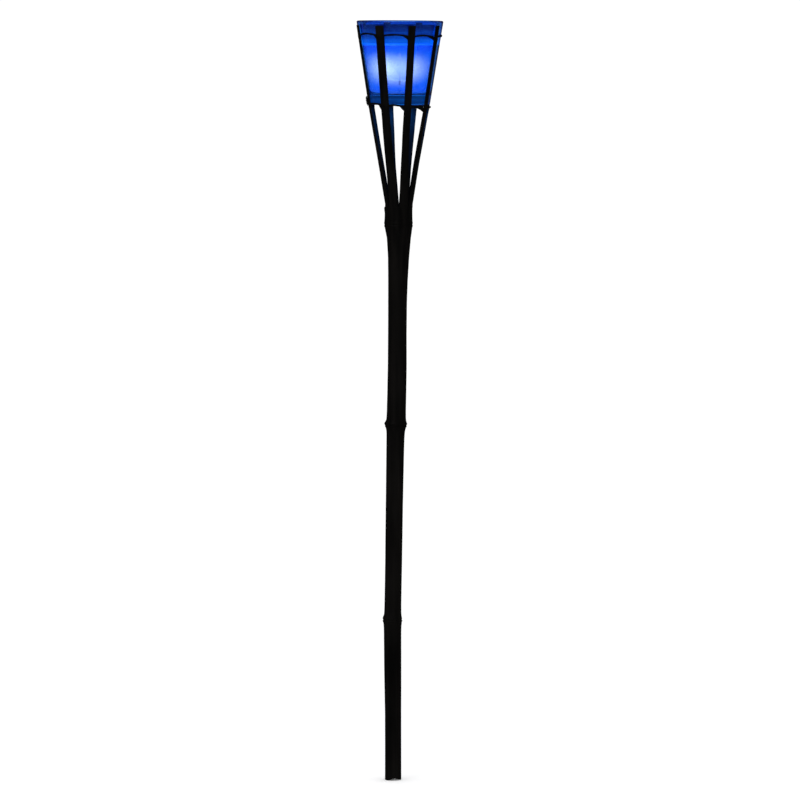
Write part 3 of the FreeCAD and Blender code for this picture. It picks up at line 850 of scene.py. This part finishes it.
def wax_mesh(bm):
    def outer(z):
        return cup_outside(z) - CUP_WALL - 0.15

    corners = [(0, WAX_FLOOR), (outer(WAX_FLOOR), WAX_FLOOR), (outer(WAX_TOP), WAX_TOP),
               (WELL_MOUTH_RADIUS, WAX_TOP), (WELL_FLOOR_RADIUS, POOL), (0, POOL)]
    profile = lathe_profile(corners, [6.0, 0.9, 2.5, 6.0], 2.0)

    def shake(r, z, a):
        near_top = blend((z - (WAX_TOP - 6)) / 6) * blend((outer(z) - r) / 4)
        melt = wobble(math.sin(a) * 1.6, math.cos(a) * 1.6, r * 0.1, 31)
        in_well = blend((24 - r) / 4) * blend((z - POOL) / 6)
        runs = 0.8 * in_well * wobble(math.sin(a) * 2.5, math.cos(a) * 2.5, z * 0.04, 32)
        return r + runs, z - near_top * (0.5 + 0.5 * melt)

    lathe(bm, profile, 128, shake)


def wick_mesh(bm):
    rings = []
    for k in range(40):
        s = WICK_LENGTH * k / 39
        bend = max(0.0, s - WICK_STRAIGHT) / WICK_BEND_RADIUS
        x = WICK_BEND_RADIUS * (1 - math.cos(bend))
        z = WICK_FOOT + min(s, WICK_STRAIGHT) + WICK_BEND_RADIUS * math.sin(bend)
        across = Vector((math.cos(bend), 0, -math.sin(bend)))
        radius = WICK_RADIUS * (1 - 0.35 * blend((s - 17.5) / 2.0))
        ring = []
        for i in range(14):
            t = TAU * i / 14
            r = radius * (1 + 0.09 * math.sin(3 * t + s * 2.2) + 0.05 * math.sin(-4 * t + s * 3.1))
            p = Vector((x, 0, z)) + across * r * math.cos(t) + Vector((0, 1, 0)) * r * math.sin(t)
            ring.append(head_point(*p))
        rings.append(ring)
    skin(bm, rings)


def flame_mesh(bm):
    profile = [(0, FLAME_LOW)]
    for k in range(1, 30):
        t = k / 30
        radius = FLAME_RADIUS * math.sin(math.pi * t ** 0.62) ** 0.85 * (1 - 0.25 * t)
        profile.append((radius, FLAME_LOW + (FLAME_HIGH - FLAME_LOW) * t))
    profile.append((0, FLAME_HIGH))
    lathe(bm, profile, 40)


# ---------------------------------------------------------------- build

bamboo = near_black_bamboo("bamboo", (0.0012, 0.0010, 0.0009), (0.0048, 0.0038, 0.0030), 220.0)
stave_bamboo = near_black_bamboo("stave_bamboo", (0.0012, 0.0010, 0.0009), (0.0045, 0.0036, 0.0029), 300.0)
cane = near_black_bamboo("cane", (0.0010, 0.0009, 0.0008), (0.0040, 0.0032, 0.0025), 420.0, (0.5, 0.7))
glass = blue_glass(cup_low.z, cup_high.z)
wax_look = lit_wax()


def add(name, maker, look, body, node=None, smooth=40):
    """A drawn piece on its body, in place of a CAD node where it has one."""
    piece = new_object(name, maker, smooth)
    piece.data.materials.append(look)
    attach(piece, body)
    if node:
        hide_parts(node)
    return piece


add("bamboo_culm", culm_mesh, bamboo, "torch", "culm", 50)
for number in range(STAVE_COUNT):
    node = "stave_%d" % (number + 1)
    add("bamboo_" + node, stave_mesh(number), stave_bamboo, "torch", node)
lower_mesh = lashing_mesh(LOWER_LASHING, arch=(0.2, 0.6), drop=4.7, seed=5, knot_stave=7)
add("cane_lower", lower_mesh, cane, "torch", "lower_lashing", 50)
upper_mesh = lashing_mesh(UPPER_LASHING, arch=(1.2, 1.9), drop=3.2, seed=9)
add("cane_upper", upper_mesh, cane, "torch", "upper_lashing", 50)
add("blue_cup", cup_mesh, glass, "cup", "glass_cup", 180)
add("candle_wax", wax_mesh, wax_look, "cup", "wax", 180)
wick_low = head_point(0, 0, WICK_FOOT).z
wick_high = head_point(0, 0, POOL + 12).z
add("candle_wick", wick_mesh, charred_wick(wick_low, wick_high), "cup", "wick", 60)
flame_low = head_point(0, 0, FLAME_LOW).z
flame_high = head_point(0, 0, FLAME_HIGH).z
flame_look = flame_material(flame_low, flame_high)
flame = add("candle_flame", flame_mesh, flame_look, "cup", None, 180)
flame.visible_shadow = False

tab = frame["nodes"]["wick_tab"]
tab.data.materials.clear()
tab.data.materials.append(tinned_sheet())


# ---------------------------------------------------------------- light, floor and camera

def lamp_at(name, data, place):
    """A light that isn't seen itself, neither directly nor through the glass."""
    lamp = bpy.data.objects.new(name, data)
    lamp.location = place
    scene.collection.objects.link(lamp)
    lamp.visible_camera = False
    lamp.visible_transmission = False
    return lamp


def disk_light(name, power, size):
    data = bpy.data.lights.new(name, "AREA")
    data.shape = "DISK"
    data.size = size
    data.energy = power
    return data


flame_data = bpy.data.lights.new("flame_light", "POINT")
flame_data.energy = 0.008
flame_data.color = (0.12, 0.38, 1.0)
flame_data.shadow_soft_size = 0.006

# blue light that leaves the underside of the glass and falls on the staves below it
base_data = disk_light("base_light", 0.5, 0.05)
base_data.color = (0.01, 0.20, 1.0)

for data, height in ((flame_data, POOL + 20), (base_data, CUP_FLOOR - 1.5)):
    lamp = lamp_at(data.name, data, head_point(0, 0, height))
    lamp.visible_glossy = False
    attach(lamp, "cup")


FLOOR_RADII = (0.05, 0.5, 2.0, 6.0, 14.0, 30.0)
FLOOR_SIDES = 64


def floor_mesh(bm):
    rows = []
    turns = [TAU * i / FLOOR_SIDES for i in range(FLOOR_SIDES)]
    for radius in FLOOR_RADII:
        rows.append([bm.verts.new((radius * math.cos(a), radius * math.sin(a), 0)) for a in turns])
    for low, high in zip(rows, rows[1:]):
        bridge(bm, low, high)
    bm.faces.new(rows[0])


def floor_look():
    made, tree, output = material("floor")
    shader = tree.nodes.new("ShaderNodeBsdfPrincipled")
    shader.inputs["Base Color"].default_value = (0.93, 0.93, 0.93, 1)
    shader.inputs["Roughness"].default_value = 0.9
    shader.inputs["Specular IOR Level"].default_value = 0.1
    shader.inputs["Emission Color"].default_value = (1, 1, 1, 1)
    shader.inputs["Emission Strength"].default_value = 0.10
    link(tree, shader.outputs["BSDF"], output.inputs["Surface"])
    return made


floor = new_object("floor", floor_mesh)
floor.data.materials.append(floor_look())
floor.visible_glossy = False

scene.view_settings.view_transform = "Standard"
world = bpy.data.worlds.new("studio")
scene.world = world
world.use_nodes = True
world_tree = world.node_tree
bright = world_tree.nodes["Background"]
bright.inputs["Color"].default_value = (1, 1, 1, 1)
bright.inputs["Strength"].default_value = 1.05
dim = world_tree.nodes.new("ShaderNodeBackground")
dim.inputs["Color"].default_value = (1, 1, 1, 1)
dim.inputs["Strength"].default_value = 0.05
surround = light_path_mix(
    world_tree, "Is Glossy Ray", bright.outputs["Background"], dim.outputs["Background"])
link(world_tree, surround, world_tree.nodes["World Output"].inputs["Surface"])

KEY_PLACE = Vector((-1.6, -2.2, 2.6))
KEY_TARGET = Vector((0, 0, 0.5))
key = lamp_at("key", disk_light("key", 9.0, 1.2), KEY_PLACE)
key.rotation_euler = (KEY_TARGET - KEY_PLACE).to_track_quat("-Z", "Y").to_euler()

DISTANCE = 6.5
FRAME_WIDTH = 0.9525  # what the picture spans at the torch
SENSOR = 36.0
CAMERA_HEIGHT = 1.0
AIM = Vector((0.0083, 0.0, 0.4577))
camera_data = bpy.data.cameras.new("camera")
camera_data.sensor_width = SENSOR
camera_data.lens = SENSOR * DISTANCE / FRAME_WIDTH
camera_data.clip_end = 100.0
camera = bpy.data.objects.new("camera", camera_data)
scene.collection.objects.link(camera)
camera.location = Vector((AIM.x, -DISTANCE, CAMERA_HEIGHT))
camera.rotation_euler = (AIM - camera.location).to_track_quat("-Z", "Y").to_euler()
scene.camera = camera
